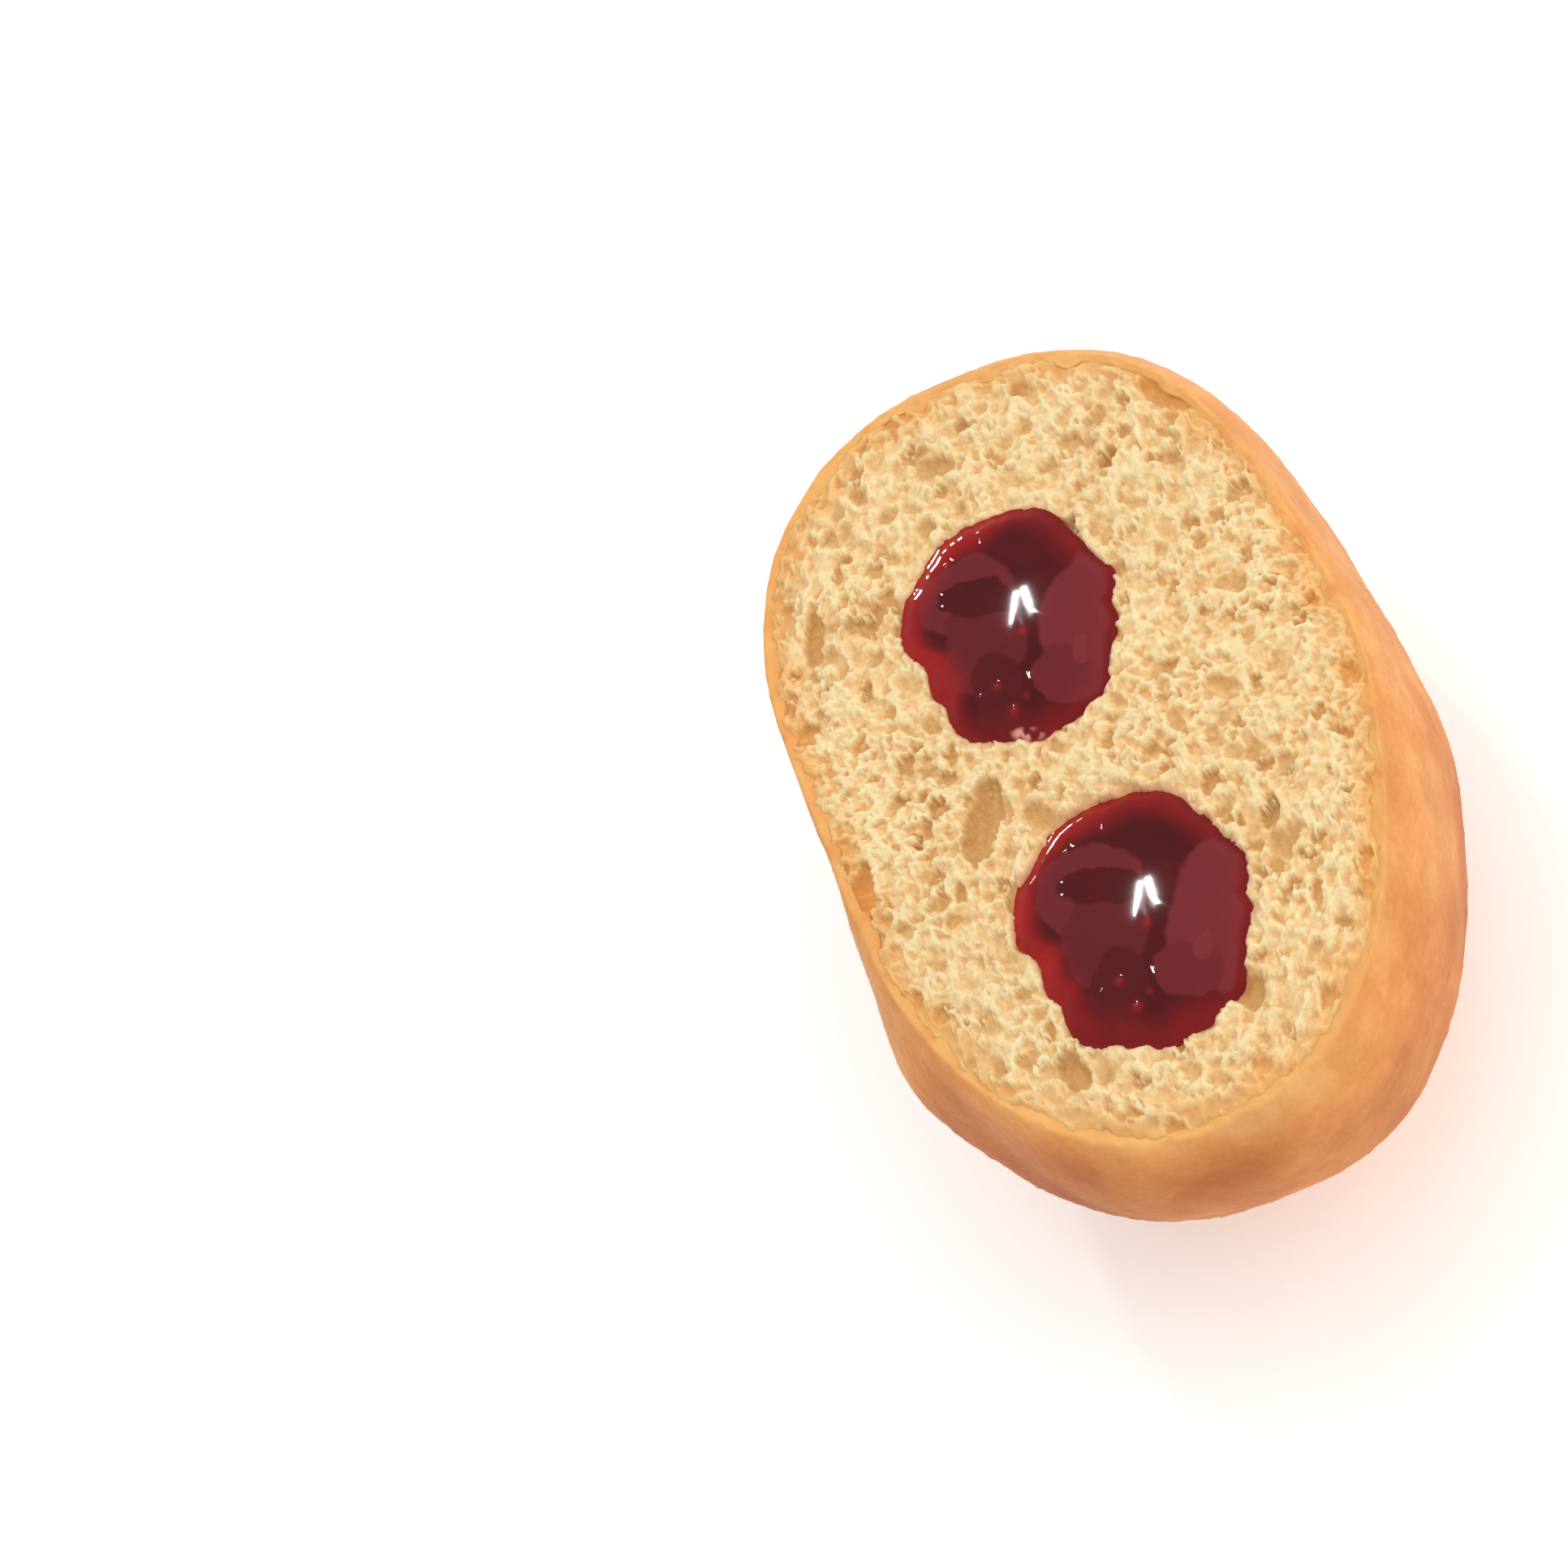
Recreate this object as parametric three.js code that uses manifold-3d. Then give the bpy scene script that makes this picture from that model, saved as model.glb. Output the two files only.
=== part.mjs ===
// A jelly-filled yeast doughnut that has been cut through upright, lying on its rounded
// back with the cut face up. X runs along the length of the cut face, Y along the height
// that the doughnut had while it was whole, and Z out of the cut. The origin is on the
// flat foot, under the middle of the cut face. Lengths are in millimetres.
import * as THREE from "three";
import { mergeVertices } from "three/addons/utils/BufferGeometryUtils.js";
import Module from "manifold-3d";

const wasm = await Module();
wasm.setup();

// The whole doughnut: a round, plump bun with no hole.
const PLAN_RADIUS = 45;
const HALF_HEIGHT = 30;
const BACK_RADIUS = 36; // from its middle to the back, squashed by its own weight
const FULLNESS = 2.3; // an exponent over 2 makes the side view squarer than an ellipse

// The knife passed in front of the middle, so the widest part lies behind the cut.
const CUT_OFFSET = 14;
const FOOT_FLAT = 0.8; // how much of the rounded back is pressed flat underneath
const CUT_HEIGHT = CUT_OFFSET + BACK_RADIUS - FOOT_FLAT;

// The bun isn't even: each row is a number of lobes round the cut face, how far they
// stand out as a share of the radius, and the angle of the first crest in degrees.
const FACE_LOBES = [
  [2, 0.065, 30], // leans, so one diagonal is longer
  [3, 0.025, -10], // faintly three-cornered
  [5, 0.015, 10], // uneven rise
];
const BELLY_LOBES = [
  [2, 0.045, -55], // sags the other way below the cut
  [3, 0.04, 55],
];

// Soft dents that fingers and the fryer left: where, how far below the cut, how wide
// and how deep. A dent of less than nothing is a swelling.
const DENTS = [
  { x: 35, y: -23, below: 10, radius: 6, press: 1.4 },
  { x: 25, y: -30, below: 11, radius: 9, press: -1.7 },
  { x: -12, y: -30, below: 7, radius: 7, press: 0.8 },
  { x: -30, y: 20, below: 18, radius: 10, press: 1.0 },
  { x: 24, y: 30, below: 24, radius: 9, press: 0.9 },
];

// Two pockets of jelly, side by side along the cut face.
const POCKETS = [
  { name: "jelly_upper", x: -12.5, y: -3, radius: 11.4, length: 1.11, depth: 26 },
  { name: "jelly_lower", x: 21.5, y: 0.5, radius: 12, length: 1.1, depth: 27 },
];
const POCKET_LOBES = [
  [3, 0.02, 110], // a blunt end and a fuller one
  [7, 0.02, 40], // soft scallops
];
const POCKET_TURN = 8; // degrees from X to a pocket's longer axis
const CROWN = 0.8; // the jelly swells this far above the cut
const POCKET_TAPER = 2.3; // exponent of a pocket's rounded blind end
const JELLY_GAP = 0.3;

const PROFILE_STEPS = 36;
const BUN_STEPS = 96;
const POCKET_STEPS = 40;
const POCKET_RINGS = 10;

const radians = THREE.MathUtils.degToRad;

function lobes(rows, angle) {
  return rows.reduce(
    (sum, [count, share, crest]) => sum + share * Math.cos(count * (angle - radians(crest))),
    0,
  );
}

function signedPower(value, power) {
  return Math.sign(value) * Math.abs(value) ** power;
}

function eachVertex(geometry, move) {
  const position = geometry.getAttribute("position");
  const point = new THREE.Vector3();
  for (let i = 0; i < position.count; i++) {
    point.fromBufferAttribute(position, i);
    move(point);
    position.setXYZ(i, point.x, point.y, point.z);
  }
  return geometry;
}

function toSolid(geometry) {
  const bare = geometry.clone();
  bare.deleteAttribute("normal");
  bare.deleteAttribute("uv");
  const merged = mergeVertices(bare, 1e-4);
  return new wasm.Manifold(
    new wasm.Mesh({
      numProp: 3,
      vertProperties: merged.getAttribute("position").array,
      triVerts: new Uint32Array(merged.index.array),
    }),
  );
}

function toGeometry(solid) {
  const mesh = solid.getMesh();
  return new THREE.BufferGeometry()
    .setAttribute("position", new THREE.BufferAttribute(mesh.vertProperties, 3))
    .setIndex(new THREE.BufferAttribute(mesh.triVerts, 1));
}

// The whole bun, its middle CUT_OFFSET below the height of the cut.
function wholeBun() {
  const profile = [];
  for (let i = 0; i <= PROFILE_STEPS; i++) {
    const turn = Math.PI * (i / PROFILE_STEPS - 0.5);
    const onAxis = i === 0 || i === PROFILE_STEPS;
    const out = onAxis ? 0 : PLAN_RADIUS * Math.cos(turn) ** (2 / FULLNESS);
    const up = HALF_HEIGHT * signedPower(Math.sin(turn), 2 / FULLNESS);
    profile.push(new THREE.Vector2(out, up));
  }
  const bun = new THREE.LatheGeometry(profile, BUN_STEPS);
  bun.scale(1, 1, BACK_RADIUS / PLAN_RADIUS);
  bun.translate(0, 0, -CUT_OFFSET);
  return bun;
}

// Makes the even bun lopsided, with its dents.
function lopsided(point) {
  const below = -point.z;
  const angle = Math.atan2(point.y, point.x);
  const towardsBack = THREE.MathUtils.clamp(below / (CUT_OFFSET + BACK_RADIUS), 0, 1);
  const onFace = Math.cos((towardsBack * Math.PI) / 2);
  const onBelly = Math.sin(towardsBack * Math.PI);
  const grow = 1 + onFace * lobes(FACE_LOBES, angle) + onBelly * lobes(BELLY_LOBES, angle);
  point.x *= grow;
  point.y *= grow;
  const inward = new THREE.Vector3(0, 0, -CUT_OFFSET).sub(point).normalize();
  const press = DENTS.reduce((sum, dent) => {
    const away = point.distanceTo(new THREE.Vector3(dent.x, dent.y, -dent.below));
    return sum + dent.press * Math.exp(-((away / dent.radius) ** 2));
  }, 0);
  point.addScaledVector(inward, press);
}

// A pocket, closed and rounded at its blind end. extra grows it all round, and top is
// how far its middle and its edge reach above the cut.
function pocket({ x, y, radius, length, depth }, extra, top) {
  const profile = [new THREE.Vector2(0, -depth - extra)];
  for (let i = 1; i < POCKET_RINGS; i++) {
    const turn = (Math.PI / 2) * (1 - i / POCKET_RINGS);
    const out = (radius + extra) * Math.cos(turn) ** (2 / POCKET_TAPER);
    profile.push(new THREE.Vector2(out, -(depth + extra) * Math.sin(turn) ** (2 / POCKET_TAPER)));
  }
  profile.push(new THREE.Vector2(radius + extra, top.edge));
  for (let i = 1; i < POCKET_RINGS / 2; i++) {
    const share = 1 - i / (POCKET_RINGS / 2);
    const rise = top.edge + (top.middle - top.edge) * (1 - share ** 2);
    profile.push(new THREE.Vector2((radius + extra) * share, rise));
  }
  profile.push(new THREE.Vector2(0, top.middle));
  const shape = new THREE.LatheGeometry(profile, POCKET_STEPS);
  shape.rotateX(Math.PI / 2);
  eachVertex(shape, (point) => {
    const grow = 1 + lobes(POCKET_LOBES, Math.atan2(point.y, point.x));
    point.x *= grow * length;
    point.y *= grow / length;
  });
  shape.rotateZ(radians(POCKET_TURN));
  shape.translate(x, y, 0);
  return shape;
}

// Everything above the cut, or below the foot, as a block to take away.
function waste(lowest, highest) {
  const side = 4 * PLAN_RADIUS;
  const block = new THREE.BoxGeometry(side, side, highest - lowest);
  block.translate(0, 0, (lowest + highest) / 2);
  return toSolid(block);
}

function dough() {
  const bun = toSolid(eachVertex(wholeBun(), lopsided));
  const above = waste(0, 2 * PLAN_RADIUS);
  const under = waste(-3 * PLAN_RADIUS, -CUT_HEIGHT);
  const top = { edge: 2 * CROWN, middle: 2 * CROWN };
  const hollows = POCKETS.map((place) => toSolid(pocket(place, JELLY_GAP, top)));
  return hollows.reduce((left, hollow) => left.subtract(hollow), bun.subtract(above).subtract(under));
}

function part(name, geometry, material) {
  const mesh = new THREE.Mesh(geometry, material);
  mesh.name = name;
  mesh.position.z = CUT_HEIGHT;
  return mesh;
}

const breadMaterial = new THREE.MeshStandardMaterial({
  color: new THREE.Color(0.89, 0.6, 0.33),
  roughness: 0.7,
  metalness: 0,
});
const jellyMaterial = new THREE.MeshStandardMaterial({
  color: new THREE.Color(0.45, 0.06, 0.07),
  roughness: 0.12,
  metalness: 0,
});

const doughnut = new THREE.Group();
doughnut.add(part("dough", toGeometry(dough()), breadMaterial));
for (const place of POCKETS) {
  const top = { edge: 0, middle: CROWN };
  doughnut.add(part(place.name, toGeometry(toSolid(pocket(place, 0, top))), jellyMaterial));
}

export default doughnut;
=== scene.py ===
# %% [markdown]
# # A cut jelly doughnut
# This lesson dresses a plain solid model of half a jelly doughnut, which lies on its
# rounded back with the cut face up. The plain model gives every place and size. Three
# things are made here: the fried crust, the soft crumb that shows where the knife went
# through, and the jelly in its two pockets.

# %% Load the plain model
import math

import bmesh
import bpy
import numpy as np
from mathutils import Matrix, Vector, noise
from mathutils.bvhtree import BVHTree


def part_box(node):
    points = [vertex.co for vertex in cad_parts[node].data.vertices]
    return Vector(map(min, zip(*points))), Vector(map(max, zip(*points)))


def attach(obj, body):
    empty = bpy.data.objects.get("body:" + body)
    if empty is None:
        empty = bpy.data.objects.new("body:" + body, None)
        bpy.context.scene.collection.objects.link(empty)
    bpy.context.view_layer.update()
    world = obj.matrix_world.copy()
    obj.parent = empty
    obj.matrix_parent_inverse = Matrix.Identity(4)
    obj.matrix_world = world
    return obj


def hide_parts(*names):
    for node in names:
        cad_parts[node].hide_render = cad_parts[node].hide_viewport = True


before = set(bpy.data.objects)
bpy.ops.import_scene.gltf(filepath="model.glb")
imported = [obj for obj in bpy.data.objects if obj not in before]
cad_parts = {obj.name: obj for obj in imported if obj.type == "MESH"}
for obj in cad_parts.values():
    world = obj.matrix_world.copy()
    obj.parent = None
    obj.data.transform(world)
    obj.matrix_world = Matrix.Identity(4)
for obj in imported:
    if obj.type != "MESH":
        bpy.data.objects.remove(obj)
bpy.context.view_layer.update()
MM = 0.001

# %% [markdown]
# ## The camera
# The cut face is looked at from above and to one side, with a long lens, so the nearer
# end isn't swollen by perspective. Three angles and an aim point say this more plainly
# than a matrix does: how far round, how high, and how much the camera is rolled.

# %% Camera
CAMERA_AZIMUTH = math.radians(117.9)
CAMERA_ELEVATION = math.radians(56.1)
CAMERA_ROLL = math.radians(-46.8)
CAMERA_DISTANCE = 420 * MM
CAMERA_AIM = Vector((-0.8, -26.2, 57.9)) * MM
CAMERA_LENS = 102.2


def make_camera():
    """A long-lens camera, placed by the angles and the aim above."""
    flat = math.cos(CAMERA_ELEVATION)
    back = Vector((
        math.sin(CAMERA_AZIMUTH) * flat,
        -math.cos(CAMERA_AZIMUTH) * flat,
        math.sin(CAMERA_ELEVATION),
    ))
    upright = (-back).to_track_quat("-Z", "Y")
    roll = Matrix.Rotation(CAMERA_ROLL, 3, "Z")
    camera = bpy.data.objects.new("camera", bpy.data.cameras.new("camera"))
    camera.data.lens = CAMERA_LENS
    camera.data.sensor_width = 36
    camera.data.clip_start = 0.01
    camera.matrix_world = Matrix.Translation(CAMERA_AIM + back * CAMERA_DISTANCE) @ (
        upright.to_matrix() @ roll
    ).to_4x4()
    bpy.context.scene.collection.objects.link(camera)
    bpy.context.scene.camera = camera
    return camera


print("camera at, mm:", [round(c / MM) for c in make_camera().location])

# %% [markdown]
# ## Reading the plain model
# Every new surface follows the plain one. A ray fired inwards from outside finds the
# skin of the bun in any direction, and a ray fired outwards inside a pocket finds the
# wall of the jelly. This keeps the dressed model the size of the plain one.

# %% Rays onto the plain model
def surface_of(node):
    """A search tree of a plain solid, its loose triangles joined first."""
    bm = bmesh.new()
    bm.from_mesh(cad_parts[node].data)
    bmesh.ops.remove_doubles(bm, verts=bm.verts, dist=0.001 * MM)
    tree = BVHTree.FromBMesh(bm)
    bm.free()
    return tree


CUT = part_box("dough")[1].z
JUST_BELOW = 0.05 * MM
FAR = 200 * MM
bun_surface = surface_of("dough")
bun_middle = Vector((0, 0, CUT - JUST_BELOW))


def on_skin(direction, inset=0.0):
    """The point of the bun's skin that lies in this direction from the middle of the cut."""
    away = Vector(direction).normalized()
    hit = bun_surface.ray_cast(bun_middle + away * FAR, -away)[0]
    return hit - away * inset


TURNS = np.linspace(-math.pi, math.pi, 721)


def outline(tree, middle):
    """How far a solid's wall lies from a middle point, in each direction round the cut."""
    reach = []
    for turn in TURNS:
        away = Vector((math.cos(turn), math.sin(turn), 0))
        hit = tree.ray_cast(middle + away * FAR, -away)[0]
        reach.append((hit - middle).length)
    return np.array(reach)


bun_reach = outline(bun_surface, bun_middle)
CRUST_THICKNESS = 0.9 * MM
EDGE_THICKNESS = 0.3 * MM
edge_ring = [Vector((math.cos(turn), math.sin(turn), 0)) * 40 for turn in TURNS]
ragged = np.array([
    1.5 * noise.noise(place / 5) + 0.8 * noise.noise(place / 1.7) + 0.3 * noise.noise(place / 0.8)
    for place in edge_ring
])
crumb_reach = bun_reach - EDGE_THICKNESS - np.clip(0.2 + ragged, 0, 2) * MM
# The knife drags the edge down a little, more in some places than in others.
drag = np.array([
    0.45 + 0.9 * noise.noise(place / 11) + 0.25 * noise.noise(place / 3) for place in edge_ring
])
edge_drag = np.clip(drag, 0.1, 1.3) * MM
print("cut face reaches, mm:", round(bun_reach.min() / MM, 1), "to", round(bun_reach.max() / MM, 1))

# %% [markdown]
# ## Shared helpers
# The crumb and the jelly are both a finely divided disc whose height varies, closed
# underneath. A square grid is bent into a disc, because its small squares stay nearly
# square, so pits and ripples are equally crisp everywhere.

# %% Disc helpers
def places(bm):
    """Where the vertices are, as rows of x, y and z."""
    return np.array([vert.co[:] for vert in bm.verts])


def move_to(bm, points):
    """Moves each vertex to its row of x, y and z."""
    for vert, point in zip(bm.verts, points):
        vert.co = point


def add_values(bm, name, values):
    """Stores one number for each vertex, which a material can read."""
    layer = bm.verts.layers.float.new(name)
    for vert, value in zip(bm.verts, values):
        vert[layer] = float(value)


def make_disc(steps):
    """A square grid bent into a disc of radius 1."""
    bm = bmesh.new()
    bmesh.ops.create_grid(bm, x_segments=steps, y_segments=steps, size=1.0)
    at = places(bm)
    at /= np.abs(at).max()
    x = at[:, 0] * np.sqrt(1 - at[:, 1] ** 2 / 2)
    y = at[:, 1] * np.sqrt(1 - at[:, 0] ** 2 / 2)
    move_to(bm, np.column_stack([x, y, np.zeros(len(x))]))
    return bm


def close_below(bm, lower_ring, steps):
    """Takes the open border down in rings, each placed by lower_ring, and closes the last."""
    edges = [edge for edge in bm.edges if edge.is_boundary]
    for step in range(1, steps + 1):
        made = bmesh.ops.extrude_edge_only(bm, edges=edges)["geom"]
        ring = [item for item in made if isinstance(item, bmesh.types.BMVert)]
        edges = [item for item in made if isinstance(item, bmesh.types.BMEdge) and item.is_boundary]
        for vert in ring:
            vert.co = lower_ring(vert.co, step)
    bmesh.ops.holes_fill(bm, edges=edges, sides=0)
    bmesh.ops.recalc_face_normals(bm, faces=bm.faces)


def downwards(turn, level):
    """A direction: turn says which way round, level how steeply down."""
    flat = math.cos(level)
    return (math.cos(turn) * flat, math.sin(turn) * flat, -math.sin(level))


def finish_piece(bm, name, material, slot, *nodes):
    """Turns a bmesh into a smooth piece that stands for plain nodes."""
    mesh = bpy.data.meshes.new(name)
    bm.to_mesh(mesh)
    open_edges = sum(not edge.is_manifold for edge in bm.edges)
    triangles = sum(len(face.verts) - 2 for face in bm.faces)
    bm.free()
    mesh.shade_smooth()
    mesh.materials.append(material)
    piece = bpy.data.objects.new(name, mesh)
    bpy.context.scene.collection.objects.link(piece)
    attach(piece, "root")
    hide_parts(*nodes)
    print(name, "triangles", triangles, "open edges", open_edges)
    return piece


def smooth_step(low, high, value):
    """0 below low, 1 above high, and a soft S between them."""
    share = np.clip((value - low) / (high - low), 0, 1)
    return share * share * (3 - 2 * share)


def noise_at(points, scale, seed=0.0, detail=1):
    """Smooth noise, about -1 to 1, whose lumps are about scale across."""
    shift = Vector((seed * 7.3, seed * 3.1, seed * 5.7))
    if detail == 1:
        return np.array([noise.noise(Vector(point) / scale + shift) for point in points])
    return np.array([
        noise.fractal(Vector(point) / scale + shift, 0.9, 2.1, detail) for point in points
    ])


# %% [markdown]
# ## Materials
# Food lets light in a little way and out again, which is what subsurface scattering
# does. Patterns are worked out from Object coordinates, in metres, so they stay put on
# the piece and have their true size.

# %% Material helpers
def start_material(name):
    """A new material, its node tree, its shader and its Object coordinates."""
    material = bpy.data.materials.new(name)
    material.use_nodes = True
    tree = material.node_tree
    shader = tree.nodes["Principled BSDF"]
    where = tree.nodes.new("ShaderNodeTexCoord").outputs["Object"]
    return material, tree, shader, where


def srgb(red, green, blue):
    """A colour from its usual 0 to 255 numbers, made linear for the shader."""
    parts = [value / 255 for value in (red, green, blue)]
    linear = [p / 12.92 if p <= 0.04045 else ((p + 0.055) / 1.055) ** 2.4 for p in parts]
    return (*linear, 1.0)


def add_noise(tree, where, size, detail=3.0):
    """Noise whose lumps are about size across."""
    node = tree.nodes.new("ShaderNodeTexNoise")
    node.inputs["Scale"].default_value = 1 / size
    node.inputs["Detail"].default_value = detail
    tree.links.new(where, node.inputs["Vector"])
    return node.outputs["Fac"]


def read_value(tree, name):
    """A number that add_values kept on the mesh."""
    node = tree.nodes.new("ShaderNodeAttribute")
    node.attribute_name = name
    return node.outputs["Fac"]


def add_ramp(tree, value, *stops):
    """Colours that a value runs through: each stop is a position and a colour."""
    node = tree.nodes.new("ShaderNodeValToRGB")
    ramp = node.color_ramp
    while len(ramp.elements) < len(stops):
        ramp.elements.new(0.5)
    for element, (position, colour) in zip(ramp.elements, stops):
        element.position = position
        element.color = colour
    tree.links.new(value, node.inputs["Fac"])
    return node.outputs["Color"]


def mix_colour(tree, share, first, second, blend="MIX"):
    """Blends two colours. Each input is a plain value or another node's output."""
    node = tree.nodes.new("ShaderNodeMix")
    node.data_type = "RGBA"
    node.blend_type = blend
    for socket, value in ((node.inputs[0], share), (node.inputs[6], first), (node.inputs[7], second)):
        if isinstance(value, bpy.types.NodeSocket):
            tree.links.new(value, socket)
        else:
            socket.default_value = value
    return node.outputs[2]


def add_bump(tree, shader, height, distance, strength):
    """Roughens how light falls, for grain too fine for the mesh."""
    node = tree.nodes.new("ShaderNodeBump")
    node.inputs["Distance"].default_value = distance
    node.inputs["Strength"].default_value = strength
    tree.links.new(height, node.inputs["Height"])
    tree.links.new(node.outputs["Normal"], shader.inputs["Normal"])


# %% [markdown]
# ### Crust
# Frying browns the two flat sides most. The middle floats above the fat, so it keeps a
# paler band. Close up the crust is mottled and dotted with tiny pale blisters, with a
# faint greasy sheen. The band and the cut rim come from numbers kept on the mesh, and
# the mottling from noise at three sizes.

# %% Crust material
def make_crust_material():
    material, tree, shader, where = start_material("fried_crust")
    brown = add_ramp(
        tree,
        read_value(tree, "browning"),
        (0.0, srgb(252, 194, 125)),
        (0.45, srgb(238, 156, 87)),
        (1.0, srgb(184, 92, 40)),
    )
    mottle = add_ramp(
        tree,
        add_noise(tree, where, 9 * MM, 2),
        (0.3, (0.9, 0.85, 0.8, 1)),
        (0.7, (1.06, 1.06, 1.04, 1)),
    )
    freckle = add_ramp(
        tree,
        add_noise(tree, where, 0.7 * MM, 2),
        (0.4, (0.98, 0.97, 0.96, 1)),
        (0.68, (1.03, 1.05, 1.09, 1)),
    )
    blotch = add_ramp(
        tree,
        add_noise(tree, where, 5 * MM, 3),
        (0.46, (0.96, 0.93, 0.89, 1)),
        (0.57, (1.02, 1.06, 1.11, 1)),
    )
    colour = mix_colour(tree, 1.0, brown, mottle, "MULTIPLY")
    colour = mix_colour(tree, 1.0, colour, blotch, "MULTIPLY")
    colour = mix_colour(tree, 1.0, colour, freckle, "MULTIPLY")
    colour = mix_colour(tree, read_value(tree, "rim"), colour, srgb(246, 188, 114))
    tree.links.new(colour, shader.inputs["Base Color"])
    shader.inputs["Roughness"].default_value = 0.5
    shader.inputs["IOR"].default_value = 1.25
    shader.inputs["Specular IOR Level"].default_value = 0.3
    shader.inputs["Subsurface Weight"].default_value = 0.15
    shader.inputs["Subsurface Radius"].default_value = (1.0, 0.5, 0.25)
    shader.inputs["Subsurface Scale"].default_value = 1.2 * MM
    add_bump(tree, shader, add_noise(tree, where, 0.45 * MM, 3), 0.09 * MM, 0.6)
    return material


crust_material = make_crust_material()
print("made", crust_material.name)

# %% [markdown]
# ### Crumb
# The torn webs between the bubbles are pale cream. Inside a pit the light has bounced
# off more dough, so shade is painted there as a deeper, tan colour, and the last few
# millimetres by the crust have soaked up a golden colour from the fat. Beside the jelly
# the crumb is stained.

# %% Crumb material
def make_crumb_material():
    material, tree, shader, where = start_material("soft_crumb")
    # Painted shade: the pits are coloured deeper and tan, the deeper they go.
    depth = add_ramp(
        tree,
        read_value(tree, "pit_shade"),
        (0.0, srgb(252, 227, 178)),
        (0.4, srgb(245, 209, 153)),
        (1.0, srgb(222, 179, 120)),
    )
    cloud = add_ramp(
        tree,
        add_noise(tree, where, 6 * MM, 3),
        (0.3, (0.96, 0.95, 0.92, 1)),
        (0.7, (1.03, 1.03, 1.03, 1)),
    )
    webs = add_noise(tree, where, 0.5 * MM, 2)
    grain = add_ramp(tree, webs, (0.38, (0.93, 0.9, 0.85, 1)), (0.6, (1.02, 1.02, 1.03, 1)))
    colour = mix_colour(tree, 1.0, depth, cloud, "MULTIPLY")
    colour = mix_colour(tree, 1.0, colour, grain, "MULTIPLY")
    colour = mix_colour(tree, read_value(tree, "fat"), colour, srgb(242, 182, 106))
    colour = mix_colour(tree, read_value(tree, "stain"), colour, srgb(214, 132, 106))
    tree.links.new(colour, shader.inputs["Base Color"])
    shader.inputs["Roughness"].default_value = 0.72
    shader.inputs["Specular IOR Level"].default_value = 0.25
    shader.inputs["Subsurface Weight"].default_value = 0.7
    shader.inputs["Subsurface Radius"].default_value = (1.0, 0.95, 0.85)
    shader.inputs["Subsurface Scale"].default_value = 0.8 * MM
    add_bump(tree, shader, webs, 0.05 * MM, 0.6)
    return material


crumb_material = make_crumb_material()
print("made", crumb_material.name)

# %% [markdown]
# ### Jelly
# Deep jelly swallows nearly all the light and looks almost black. Where it thins out
# against the pale crumb the light comes back bright red, and on the side where the light
# comes in the thin edge is painted brighter still, as painted light. Its skin carries
# painted reflections: mauve patches, and a dark patch cut into them. How thin it is, that
# painted light and the painted reflections are kept on the mesh. It is smooth enough to
# mirror the lamps as hard wet glints.

# %% Jelly material
def make_jelly_material():
    material, tree, shader, where = start_material("fruit_jelly")
    # Dark where the jelly is deep and red where it is thin; the edge on the bright side is brighter
    # still, which is painted light.
    deep = add_ramp(
        tree,
        read_value(tree, "thin_and_lit"),
        (0.0, srgb(84, 8, 15)),
        (0.4, srgb(122, 15, 19)),
        (1.0, srgb(167, 28, 25)),
    )
    cloud = add_ramp(
        tree,
        add_noise(tree, where, 4 * MM, 2),
        (0.35, (0.88, 0.88, 0.9, 1)),
        (0.65, (1.08, 1.05, 1.05, 1)),
    )
    colour = mix_colour(tree, 1.0, deep, cloud, "MULTIPLY")
    # Painted reflection: a mauve sheen in patches, where the skin would mirror the room.
    colour = mix_colour(tree, read_value(tree, "painted_sheen"), colour, srgb(134, 45, 51))
    colour = mix_colour(tree, read_value(tree, "foam"), colour, srgb(236, 172, 156))
    tree.links.new(colour, shader.inputs["Base Color"])
    shader.inputs["Roughness"].default_value = 0.05
    shader.inputs["IOR"].default_value = 1.39
    shader.inputs["Subsurface Weight"].default_value = 0.2
    shader.inputs["Subsurface Radius"].default_value = (1.0, 0.12, 0.1)
    shader.inputs["Subsurface Scale"].default_value = 2.0 * MM
    return material


jelly_material = make_jelly_material()
print("made", jelly_material.name)

# %% [markdown]
# ## Jelly
# Each pocket is a plug of jelly that filled a hollow in the dough, so its edge is
# scalloped by the bubbles it ran into. A ball could be cut flat instead, but its edge
# would be a plain ring. So a disc is bent to a scalloped edge, its heights are set, and
# its border is taken down inside the pocket and closed.

# %% Pockets
# Bays and corners of the edge: direction and half width in degrees, and how far it goes
# out, in millimetres.
CORNERS = [(-77, 18, -1.1), (-119, 20, 0.4), (157, 9, 0.7), (35, 10, 0.5), (-35, 12, 0.4)]


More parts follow.
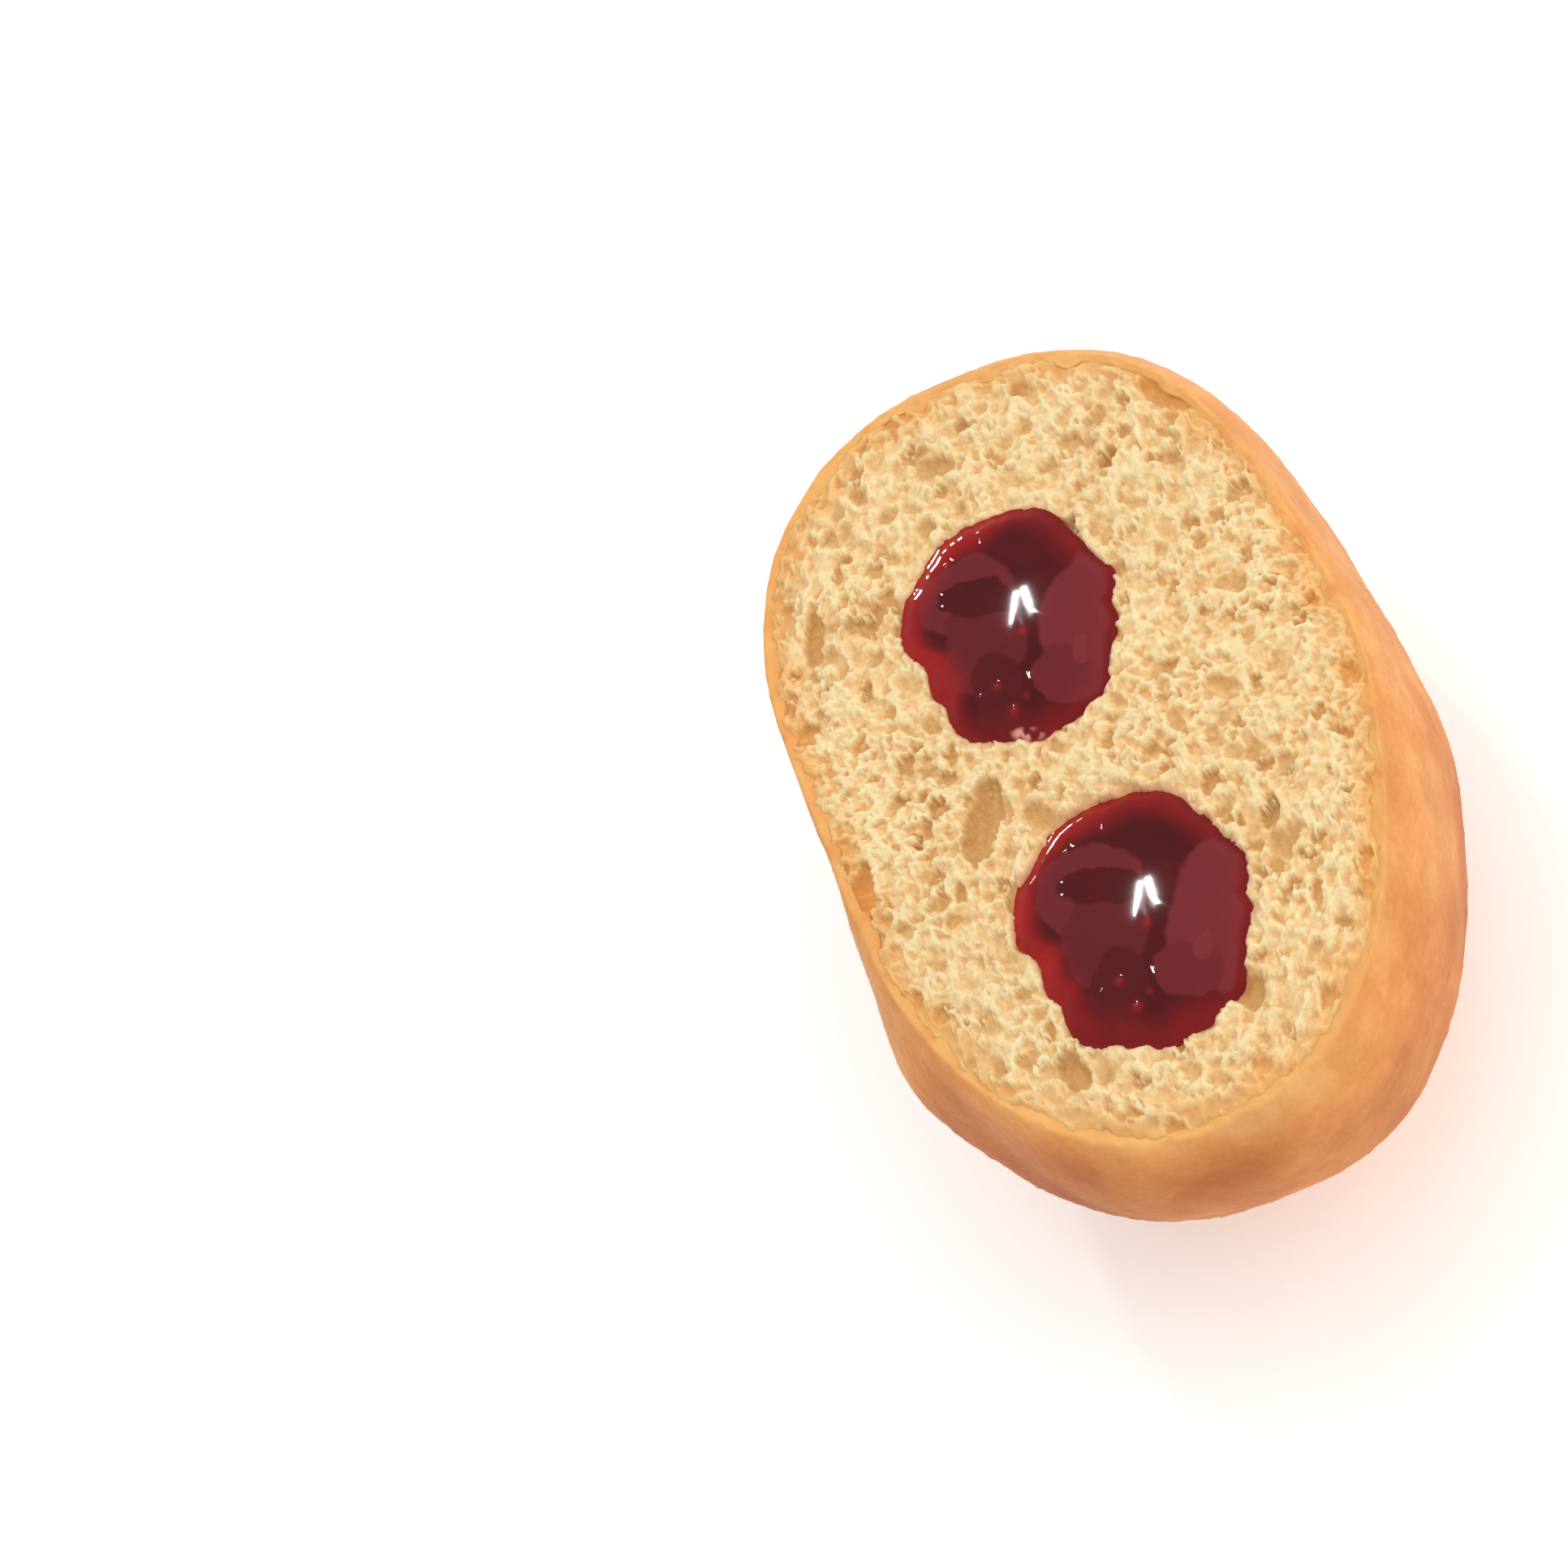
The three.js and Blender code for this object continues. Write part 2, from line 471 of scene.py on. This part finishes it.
class Pocket:
    """Where one plug of jelly lies, and its scalloped edge at the cut."""

    def __init__(self, node, crown_shift, bend_seeds, foamy):
        low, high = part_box(node)
        self.node = node
        self.crown_shift = crown_shift
        self.bend_seeds = bend_seeds
        self.foamy = foamy
        self.middle = Vector(((low.x + high.x) / 2, (low.y + high.y) / 2, CUT - JUST_BELOW))
        self.floor = low.z
        self.top = high.z
        smooth = outline(surface_of(node), self.middle)
        ring = [(math.cos(t) * 9, math.sin(t) * 9, 0) for t in TURNS]
        lobes = np.abs(noise_at(ring, 4.5, 3)) * 2.0 - 0.45
        scallops = lobes + 0.3 * noise_at(ring, 1.6, 4) + 0.1 * noise_at(ring, 0.7, 5)
        for direction, wide, out in CORNERS:
            apart = (np.degrees(TURNS) - direction + 180) % 360 - 180
            scallops += out * np.exp(-((apart / wide) ** 2))
        self.smooth = smooth
        self.edge = smooth + scallops * MM

    def distances(self, points):
        """How far points lie from the middle, and how far inside the edge."""
        dx = points[:, 0] - self.middle.x
        dy = points[:, 1] - self.middle.y
        away = np.hypot(dx, dy)
        return away, np.interp(np.arctan2(dy, dx), TURNS, self.edge) - away


pockets = [
    Pocket("jelly_upper", -1.8 * MM, bend_seeds=(40, 41, 42), foamy=True),
    Pocket("jelly_lower", 1.9 * MM, bend_seeds=(50, 51, 42), foamy=False),
]
for pocket in pockets:
    print(pocket.node, "depth, mm:", round((CUT - pocket.floor) / MM, 1))

# %% [markdown]
# ### Marks on the jelly
# The surface isn't plain. Small lumps catch the light, beads of air let it through,
# painted reflections lie on the skin in patches and a little foam has spilled over one
# edge. Each mark is an oval or a circle, so a short row of numbers says where it lies and
# how large it is.

# %% Marks on the jelly
# Lumps, folds and beads of air under the skin: x and y from the pocket's middle, half
# length, half width, degrees and rise, in millimetres.
LUMPS = [
    (-9.4, -4.8, 1.0, 0.5, 117, 0.1),
    (-10.3, -3.9, 1.0, 0.5, 18, 0.1),
    (-10.8, -0.3, 0.9, 0.4, 150, 0.1),
    (-6.4, -5.8, 0.4, 0.4, 0, 0.06),
    (-5.1, -6.1, 0.4, 0.4, 0, 0.06),
    (6.7, 0.6, 1.1, 0.8, 42, 0.11),
    (6.0, -4.8, 0.3, 0.3, 0, 0.08),
    (5.7, -2.8, 0.4, 0.4, 0, 0.12),
    (8.7, -1.9, 0.4, 0.4, 0, 0.1),
    (3.4, 0.3, 2.2, 0.4, 166, -0.03),
    (3.2, 6.4, 3.0, 0.4, 45, 0.03),
]
# Round beads of air, over which the jelly is thin: x, y and radius.
BEADS = [(5.7, -2.8, 0.45), (8.7, -1.9, 0.5), (7.8, -0.3, 0.3), (1.3, 1.2, 0.45)]
# Painted reflections on the skin, each laid over the ones before: the same numbers, but
# the last says how strong the painted mauve sheen is, and 0 paints a dark patch.
PAINTED_REFLECTIONS = [
    (-4.5, -3.0, 5.4, 4.6, 66, 0.55),
    (1.0, -3.2, 4.4, 5.2, 66, 0.35),
    (-4.2, -2.0, 4.2, 2.0, 66, 0.0),
    (3.0, 9.0, 8.5, 6.2, 166, 0.75),
    (7.0, 3.5, 3.2, 3.0, 30, 0.55),
    (5.4, 6.0, 1.6, 0.8, 150, 0.95),
    (6.2, -3.0, 2.6, 3.6, 66, 0.1),
]
# A little pink foam on the edge of one pocket: the same numbers without the last.
FOAM = (11.4, -1.4, 1.8, 0.7, 66)


def oval(at, pocket, x, y, long, wide, degrees):
    """How far out points lie in an oval on the jelly: 0 in its middle, 1 on its rim."""
    turn = math.radians(degrees)
    dx = at[:, 0] - pocket.middle.x - x * MM
    dy = at[:, 1] - pocket.middle.y - y * MM
    along = (dx * math.cos(turn) + dy * math.sin(turn)) / (long * MM)
    across = (dy * math.cos(turn) - dx * math.sin(turn)) / (wide * MM)
    return np.hypot(along, across)


print("marks on each jelly:", len(LUMPS) + len(BEADS) + len(PAINTED_REFLECTIONS))

# %% Surface of the jelly
CROWN_RADIUS = 12 * MM  # how far from its crown the dome falls level with the cut
TUCK = 0.35 * MM  # how far the jelly runs on under the crumb
BRIGHT_SIDE = math.radians(-125)  # where the light comes in under the edge
EDGE_BAND = 0.8 * MM  # marks fade out over this band inside the edge


def jelly_height(pocket, at, inside):
    """The height of the jelly, and how much foam lies on it."""
    from_crown = np.hypot(at[:, 0] - pocket.middle.x - pocket.crown_shift, at[:, 1] - pocket.middle.y)
    dome = (pocket.top - CUT) * (1 - (from_crown / CROWN_RADIUS) ** 2)
    rolled_under = 0.5 * MM * (1 - smooth_step(-TUCK, 1.4 * MM, inside))
    detail = 0.006 * noise_at(at, 8 * MM, 5)
    for *place, rise in LUMPS:
        detail += rise * np.exp(-oval(at, pocket, *place) ** 2)
    foam = np.zeros(len(at))
    if pocket.foamy:
        foam = 1 - smooth_step(0.55, 1.1, oval(at, pocket, *FOAM))
        foam *= smooth_step(-0.25, 0.25, noise_at(at, 0.6 * MM, 44))
    height = CUT + dome - rolled_under + detail * MM * smooth_step(0, EDGE_BAND, inside)
    return height + 0.2 * MM * foam, foam


def jelly_thin_and_lit(pocket, at, turn, inside):
    """How thin the jelly is, 0 to 1, near its edge and at beads, with painted light making the edge
    brighter on the side where the light comes in.
    """
    # Painted light: the edge is made brighter on the side where the light comes in.
    lit_side = 0.45 + 0.55 * smooth_step(-0.2, 0.8, np.cos(turn - BRIGHT_SIDE))
    depth = inside + 1.2 * MM * noise_at(at, 5 * MM, 8)
    thin_and_lit = lit_side * (1 - smooth_step(0.3 * MM, 3.6 * MM, depth))
    for x, y, radius in BEADS:
        thin_and_lit += 0.8 * np.exp(-oval(at, pocket, x, y, radius, radius, 0) ** 2)
    return np.clip(thin_and_lit, 0, 1)


def jelly_painted_reflection(pocket, at, inside):
    """How strong the painted mauve reflection is, 0 to 1, in patches whose borders waver."""
    bend = [
        1.5 * noise_at(at, 4.5 * MM, seed) + 0.35 * noise_at(at, 1.2 * MM, seed)
        for seed in pocket.bend_seeds
    ]
    bent = at + MM * np.column_stack(bend)
    painted_sheen = np.zeros(len(at))
    for *place, sheen_strength in PAINTED_REFLECTIONS:
        painted_sheen += (sheen_strength - painted_sheen) * (1 - smooth_step(0.93, 1.03, oval(bent, pocket, *place)))
    return painted_sheen * smooth_step(0, EDGE_BAND, inside)


# %% Jelly pieces
JELLY_STEPS = 150
JELLY_RINGS = 14
ROUNDNESS = 0.87  # below 1 makes the blind end of the plug fuller than a ball's
CLEARANCE = 0.1 * MM  # kept free of the pocket's wall
FIRST_DROP = 1.2 * MM  # how far the border goes straight down before it turns in


def make_jelly(pocket):
    bm = make_disc(JELLY_STEPS)
    at = places(bm)
    turn = np.arctan2(at[:, 1], at[:, 0])
    edge = np.interp(turn, TURNS, pocket.edge)
    reach = (edge + TUCK) * np.hypot(at[:, 0], at[:, 1])
    at[:, 0] = pocket.middle.x + reach * np.cos(turn)
    at[:, 1] = pocket.middle.y + reach * np.sin(turn)
    inside = edge - reach
    at[:, 2], foam = jelly_height(pocket, at, inside)
    move_to(bm, at)
    # How thin the jelly is, with painted light on its bright side.
    add_values(bm, "thin_and_lit", jelly_thin_and_lit(pocket, at, turn, inside))
    # Painted reflection: the mauve sheen and the dark patch on the skin.
    add_values(bm, "painted_sheen", jelly_painted_reflection(pocket, at, inside))
    add_values(bm, "foam", 0.9 * foam)
    depth = CUT - pocket.floor

    def lower(place, step):
        if step == 1:
            return Vector((place.x, place.y, CUT - FIRST_DROP))
        level = step / (JELLY_RINGS + 1) * math.pi / 2
        round_the_plug = math.atan2(place.y - pocket.middle.y, place.x - pocket.middle.x)
        wall = np.interp(round_the_plug, TURNS, pocket.smooth)
        wide = wall * math.cos(level) ** ROUNDNESS - CLEARANCE
        return Vector((
            pocket.middle.x + wide * math.cos(round_the_plug),
            pocket.middle.y + wide * math.sin(round_the_plug),
            CUT - depth * math.sin(level) ** ROUNDNESS,
        ))

    close_below(bm, lower, JELLY_RINGS)
    return finish_piece(bm, pocket.node + "_plug", jelly_material, "jelly", pocket.node)


for pocket in pockets:
    make_jelly(pocket)

# %% [markdown]
# ## Crumb
# Bread is a foam, and a cut through a foam opens every bubble that it meets. So the
# crumb is made the same way: bubbles of many sizes are placed at random near the cut,
# and each one that the surface runs through drops it to the bubble's floor. Bubbles are
# taken from the top down, because a shallow one may open the way to a deeper one. A
# noise texture looks like sponge, not like bread.

# %% Bubbles
GRAIN = np.random.default_rng(7)
# How many bubbles, and their smallest and largest radius in millimetres.
BUBBLE_SIZES = [(12000, 0.22, 0.36), (10500, 0.36, 0.6), (1300, 0.6, 1.0), (70, 0.9, 1.5)]
# Big pores: x, y, half length, half width, degrees, depth, in millimetres.
BIG_PORES = [
    (6, -11, 4.6, 1.9, -28, 3.4),
    (-20, -22.5, 3.6, 1.1, -14, 2.4),
    (9, -24.5, 3.8, 1.4, -22, 2.6),
    (-30, 18, 3.4, 1.4, 40, 2.2),
    (6.5, 26.5, 1.6, 1.1, 0, 2.2),
    (34, -9, 2.2, 1.5, 30, 2.4),
    (33, 9, 2.0, 1.4, -20, 2.2),
    (-33, -6, 2.4, 1.3, 60, 1.8),
]


def scatter_bubbles():
    """Rows of x, y, z, half length, half width, half height and turn, in metres."""
    rows = []
    reach = bun_reach.max()
    for count, least, most in BUBBLE_SIZES:
        radius = GRAIN.uniform(least, most, count) * MM
        stretch = GRAIN.uniform(1.0, 1.55, count)
        rows.append(np.column_stack([
            GRAIN.uniform(-reach, reach, count),
            GRAIN.uniform(-reach * 0.7, reach * 0.7, count),
            CUT + radius * GRAIN.uniform(-1.0, 0.5, count),
            radius * stretch,
            radius / stretch ** 0.5,
            radius * GRAIN.uniform(0.7, 1.15, count),
            GRAIN.uniform(0, math.pi, count),
        ]))
    for x, y, long, wide, turn, depth in BIG_PORES:
        rows.append(np.array([[
            x * MM, y * MM, CUT - 0.1 * depth * MM, long * MM, wide * MM, depth * MM, math.radians(turn),
        ]]))
    rows = np.concatenate(rows)
    return rows[np.argsort(-(rows[:, 2] + rows[:, 5]))]


CELL = 1.0 * MM  # side of the squares that the points are sorted into


def sort_into_cells(at):
    """Groups the points by the small square of the face that each lies in."""
    keys = np.floor(at[:, :2] / CELL).astype(int)
    order = np.lexsort((keys[:, 1], keys[:, 0]))
    changes = np.where(np.any(np.diff(keys[order], axis=0), axis=1))[0] + 1
    return {tuple(keys[group[0]]): group for group in np.split(order, changes)}


def near_cells(cells, x, y, reach):
    """The points in every square that a circle may touch."""
    first = np.floor((np.array([x, y]) - reach) / CELL).astype(int)
    last = np.floor((np.array([x, y]) + reach) / CELL).astype(int)
    squares = [(i, j) for i in range(first[0], last[0] + 1) for j in range(first[1], last[1] + 1)]
    found = [cells[square] for square in squares if square in cells]
    return np.concatenate(found) if found else np.zeros(0, int)


def punch(at, height, rows):
    """Drops the height to the floor of each bubble that it passes through."""
    cells = sort_into_cells(at)
    for x, y, z, long, wide, tall, turn in rows:
        near = near_cells(cells, x, y, long)
        dx, dy = at[near, 0] - x, at[near, 1] - y
        along = (dx * math.cos(turn) + dy * math.sin(turn)) / long
        across = (dy * math.cos(turn) - dx * math.sin(turn)) / wide
        left = 1 - along ** 2 - across ** 2
        half = tall * np.sqrt(np.clip(left, 0, None))
        opened = (left > 0) & (height[near] < z + half) & (height[near] > z - half)
        height[near[opened]] = z - half[opened]
    return height


GRANULES = 5200


def add_granules(at, height):
    """Raises small rounded nubs, the broken ends of the webs between bubbles."""
    picked = GRAIN.choice(len(at), GRANULES, replace=False)
    rows = [(at[i, 0], at[i, 1], height[i], GRAIN.uniform(0.2, 0.36) * MM) for i in picked]
    cells = sort_into_cells(at)
    raised = height.copy()
    for x, y, z, radius in rows:
        near = near_cells(cells, x, y, radius)
        left = radius ** 2 - (at[near, 0] - x) ** 2 - (at[near, 1] - y) ** 2
        inside = left > 0
        top = z - 0.45 * radius + np.sqrt(left[inside]) * 0.85
        raised[near[inside]] = np.maximum(raised[near[inside]], top)
    return raised


bubbles = scatter_bubbles()
print("bubbles:", len(bubbles))

# %% Torn surface of the crumb
RELIEF = 0.8  # soft dough sags, so its bubbles are shallower than they were round
DEEPEST = 3.2 * MM  # no pit goes further below the cut than this
EDGE_SINK = 0.35 * MM  # how far the crumb's border sinks into the crust
MEET_CRUST = 1.3  # brings the crumb's border down to the crust's dragged edge


def torn_height(at, turn, to_crust):
    """The height of the crumb, and what it would be without any bubbles."""
    torn = 0.3 * noise_at(at, 7 * MM, 20) + 0.12 * noise_at(at, 1.4 * MM, 21)
    untorn = CUT + (0.1 + torn) * MM * smooth_step(0, 3 * MM, to_crust)
    warp = 0.36 * np.column_stack([noise_at(at, 1.3 * MM, 22), noise_at(at, 1.3 * MM, 23)])
    warp += 0.26 * np.column_stack([noise_at(at, 0.55 * MM, 28), noise_at(at, 0.55 * MM, 29)])
    height = punch(at[:, :2] + warp * MM, untorn.copy(), bubbles)
    calm = smooth_step(-0.2 * MM, 1.5 * MM, to_crust)
    near_crust = 1 - smooth_step(-1.2 * MM, 2.6 * MM, to_crust)
    rolled = np.interp(turn, TURNS, edge_drag) * near_crust * MEET_CRUST
    height = untorn + RELIEF * (height - untorn) * (0.15 + 0.85 * calm) - rolled
    height = np.maximum(height, CUT - DEEPEST)
    height -= EDGE_SINK * (1 - smooth_step(0, 1.0 * MM, to_crust))
    raised = add_granules(at, height)
    height += (raised - height) * calm + 0.08 * MM * noise_at(at, 0.6 * MM, 24)
    return height, untorn - rolled


WELL_ROUNDNESS = 2.3  # above 2 makes the hollow fuller than a ball
WELL_CLEARANCE = 0.4 * MM  # how much deeper the hollow is than the plug, and how far inside it starts
LIP = 0.9 * MM  # the crumb dips this far where it meets the jelly


def sink_under_jelly(at, height):
    """Takes the crumb down under each plug of jelly, and says how stained it is."""
    stain = np.zeros(len(at))
    for pocket in pockets:
        away, inside = pocket.distances(at)
        soaked = 0.35 * MM * noise_at(at, 1 * MM, 26) - inside
        stain = np.maximum(stain, 1 - smooth_step(0, 0.9 * MM, soaked))
        dip = smooth_step(-0.6 * MM, 0.45 * MM, inside)
        height = height * (1 - dip) + (CUT - LIP) * dip
        share = np.clip(1 - inside / np.maximum(inside + away, 1e-9), 0, 1)
        depth = CUT - pocket.floor + WELL_CLEARANCE
        well = depth * (1 - share ** WELL_ROUNDNESS) ** (1 / WELL_ROUNDNESS)
        height = np.where(inside > WELL_CLEARANCE, np.minimum(height, CUT - well), height)
    return height, stain


# %% Crumb piece
CRUMB_STEPS = 290
CRUMB_RINGS = 7
CRUMB_GAP = 0.6 * MM  # left free between the crumb's underside and the crust


def make_crumb():
    bm = make_disc(CRUMB_STEPS)
    at = places(bm)
    turn = np.arctan2(at[:, 1], at[:, 0])
    share = np.hypot(at[:, 0], at[:, 1])
    reach = np.interp(turn, TURNS, crumb_reach)
    at[:, 0] = reach * share * np.cos(turn)
    at[:, 1] = reach * share * np.sin(turn)
    to_crust = reach * (1 - share)
    height, untorn = torn_height(at, turn, to_crust)
    move_to(bm, np.column_stack([at[:, :2], height]))
    bmesh.ops.smooth_vert(bm, verts=bm.verts, factor=0.35, use_axis_z=True)
    height = places(bm)[:, 2]
    # Painted shade: how far each point lies below the untorn surface, which darkens the pits.
    pit_shade = smooth_step(0.05 * MM, 1.3 * MM, untorn - height)
    at[:, 2], stain = sink_under_jelly(at, height)
    move_to(bm, at)
    add_values(bm, "pit_shade", pit_shade)
    from_fat = to_crust + 2.2 * MM * noise_at(at, 4 * MM, 27)
    add_values(bm, "fat", 0.85 * (1 - smooth_step(0, 4.2 * MM, from_fat)))
    add_values(bm, "stain", 0.55 * stain)

    def lower(place, step):
        level = step / (CRUMB_RINGS + 1) * math.pi / 2
        return on_skin(downwards(math.atan2(place.y, place.x), level), CRUST_THICKNESS + CRUMB_GAP)

    close_below(bm, lower, CRUMB_RINGS)
    return finish_piece(bm, "crumb", crumb_material, "crumb", "dough")


make_crumb()

# %% [markdown]
# ## Crust
# The crust is a thin shell round the crumb. The plain model's own skin could be used,
# but its triangles are too large for blisters. So a ball is cut in half, and every point
# of it is let down onto that skin. Then it gets what the fryer left: gentle lumps, small
# blisters, and a faint seam round the pale band. The edge at the cut is turned in under
# the crumb and taken down inside, so the shell is closed.

# %% Relief and browning of the crust
def skin_relief(at, below):
    """How far the skin is raised: lumps, blisters, roughness and seam, none at foot or rim."""
    foot = smooth_step(0.3 * MM, 6 * MM, at[:, 2])
    lumps = 0.4 * noise_at(at, 10 * MM, 30) + 0.08 * noise_at(at, 3 * MM, 31)
    blister = np.clip(noise_at(at, 1.1 * MM, 32) - 0.25, 0, 1) * 0.22
    rough = 0.05 * noise_at(at, 0.7 * MM, 33, 3)
    sway = 1.6 * MM * noise_at(at, 14 * MM, 34)
    seam = -0.15 * np.exp(-(((at[:, 1] - 1.5 * MM - sway) / (1.1 * MM)) ** 2))
    seam *= smooth_step(-0.1, 0.35, noise_at(at, 12 * MM, 35)) * smooth_step(2 * MM, 8 * MM, below)
    return (lumps + blister + rough + seam) * foot * MM * smooth_step(0, 0.8 * MM, below)


def browning_at(at, below):
    """How brown the crust is, 0 to 1: most on the flat sides, far down, and at one end."""
    flat_side = smooth_step(6 * MM, 26 * MM, np.abs(at[:, 1] + 1.5 * MM * noise_at(at, 11 * MM, 36)))
    far_end = smooth_step(16 * MM, 44 * MM, at[:, 0]) * smooth_step(-3 * MM, 9 * MM, below)
    far_end *= 1 - 0.65 * smooth_step(0, 20 * MM, at[:, 1])
    deep_down = smooth_step(8 * MM, 28 * MM, below)
    browning = 0.12 + 0.24 * flat_side + 0.42 * flat_side * deep_down + 0.6 * far_end
    return np.clip(browning + 0.2 * noise_at(at, 8 * MM, 37), 0, 1)


# %% Crust piece
BALL_LEVELS = 8
CRUST_RINGS = 6
RIM_STEPS = 6  # rings across the torn rim at the cut
RIM_INSET = 0.12 * MM  # how far the rim's outer edge is rounded in
RIM_TUCK = 0.7 * MM  # how far the rim runs on under the crumb
RIM_SINK = 0.35  # how far its inner edge lies below its outer one, in millimetres


def make_crust():
    bm = bmesh.new()
    bmesh.ops.create_icosphere(bm, subdivisions=BALL_LEVELS, radius=1.0)
    bmesh.ops.bisect_plane(
        bm,
        geom=bm.verts[:] + bm.edges[:] + bm.faces[:],
        dist=1e-5,
        plane_co=(0, 0, 0),
        plane_no=(0, 0, 1),
        clear_outer=True,
    )
    directions = places(bm)
    at = np.array([on_skin(direction)[:] for direction in directions])
    below = CUT - at[:, 2]
    rim = 1 - smooth_step(0, 0.4 * MM, below)
    outward = directions / np.linalg.norm(directions, axis=1)[:, None]
    at += outward * skin_relief(at, below)[:, None]
    edge_turn = np.arctan2(at[:, 1], at[:, 0])
    at[:, 2] -= np.interp(edge_turn, TURNS, edge_drag) * (1 - smooth_step(0, 2.2 * MM, below))
    on_edge = directions[:, 2] > -1e-4
    at[on_edge] -= outward[on_edge] * RIM_INSET
    move_to(bm, at)
    add_values(bm, "browning", browning_at(at, below))
    add_values(bm, "rim", rim * np.clip(0.6 + 0.6 * noise_at(at, 2.5 * MM, 38), 0, 1))

    def lower(place, step):
        turn = math.atan2(place.y, place.x)
        if step > RIM_STEPS:
            level = (step - RIM_STEPS) / (CRUST_RINGS + 1) * math.pi / 2
            return on_skin(downwards(turn, level), CRUST_THICKNESS)
        share = step / RIM_STEPS
        outer = np.interp(turn, TURNS, bun_reach) - RIM_INSET
        inner = np.interp(turn, TURNS, crumb_reach) - RIM_TUCK
        reach = outer + (inner - outer) * share
        spot = Vector((reach * math.cos(turn), reach * math.sin(turn), 0))
        torn = 0.34 * noise.noise(spot / (0.9 * MM)) + 0.24 * noise.noise(spot / (2.5 * MM))
        torn *= 1.2 - share
        spot.z = CUT - np.interp(turn, TURNS, edge_drag) + (torn - RIM_SINK * share) * MM
        return spot

    close_below(bm, lower, RIM_STEPS + CRUST_RINGS)
    return finish_piece(bm, "crust", crust_material, "crust", "dough")


make_crust()

# %% [markdown]
# ## Table and lights
# A plain pale table, a broad soft lamp above and a weaker one from the side. The wet
# jelly mirrors three bright panes, like those of a window: two narrow ones far off make
# the glints near its middle, and a low one catches its rolled edge. The glints could
# be painted on, but real ones move with the view. The soft lamps are kept out of
# reflections, where they would show as large pale squares.

# %% Table
def make_table():
    bm = bmesh.new()
    bmesh.ops.create_grid(bm, x_segments=1, y_segments=1, size=3.0)
    mesh = bpy.data.meshes.new("table")
    bm.to_mesh(mesh)
    bm.free()
    material, _, shader, _ = start_material("pale_table")
    shader.inputs["Base Color"].default_value = (0.94, 0.94, 0.93, 1)
    shader.inputs["Emission Color"].default_value = (1, 1, 1, 1)
    shader.inputs["Emission Strength"].default_value = 0.3
    shader.inputs["Roughness"].default_value = 0.8
    mesh.materials.append(material)
    table = bpy.data.objects.new("table", mesh)
    bpy.context.scene.collection.objects.link(table)


make_table()

# %% Lights
def add_lamp(name, direction, distance, width, height, power, turn=0.0):
    """A rectangular lamp that faces the cut, this far off, spun by turn degrees."""
    data = bpy.data.lights.new(name, "AREA")
    data.shape = "RECTANGLE"
    data.size = width
    data.size_y = height
    data.energy = power
    lamp = bpy.data.objects.new(name, data)
    target = Vector((0, 0, CUT))
    lamp.location = target + Vector(direction).normalized() * distance
    lamp.rotation_mode = "QUATERNION"
    spin = Matrix.Rotation(math.radians(turn), 3, "Z").to_quaternion()
    lamp.rotation_quaternion = (target - lamp.location).to_track_quat("-Z", "Y") @ spin
    lamp.visible_camera = False
    bpy.context.scene.collection.objects.link(lamp)
    return lamp


# Each has a direction from the cut, then its distance, width and height in metres, its
# power in watts, and its spin in degrees.
for soft_lamp in (
    add_lamp("overhead", (-0.02, 0.12, 0.95), 0.7, 0.7, 0.7, 2.55),
    add_lamp("side", (-0.1, 0.95, 0.4), 0.8, 0.6, 0.6, 1.5),
):
    soft_lamp.visible_glossy = False
add_lamp("low_pane", (-0.9, -0.42, 0.13), 1.5, 0.4, 0.3, 9.0).visible_diffuse = False
add_lamp("pane_left", (-0.511, -0.18, 0.841), 3.0, 0.024, 0.24, 3.0, -37)
add_lamp("pane_right", (-0.516, -0.149, 0.845), 3.0, 0.034, 0.22, 3.6, -12)

ROOM_LIGHT = 0.47
world = bpy.data.worlds.new("room")
bpy.context.scene.world = world
world.use_nodes = True
world.node_tree.nodes["Background"].inputs["Color"].default_value = (1, 0.99, 0.97, 1)
world.node_tree.nodes["Background"].inputs["Strength"].default_value = ROOM_LIGHT
bpy.context.scene.view_settings.view_transform = "Standard"
bpy.context.scene.view_settings.look = "None"
print("lamps:", len(bpy.data.lights))
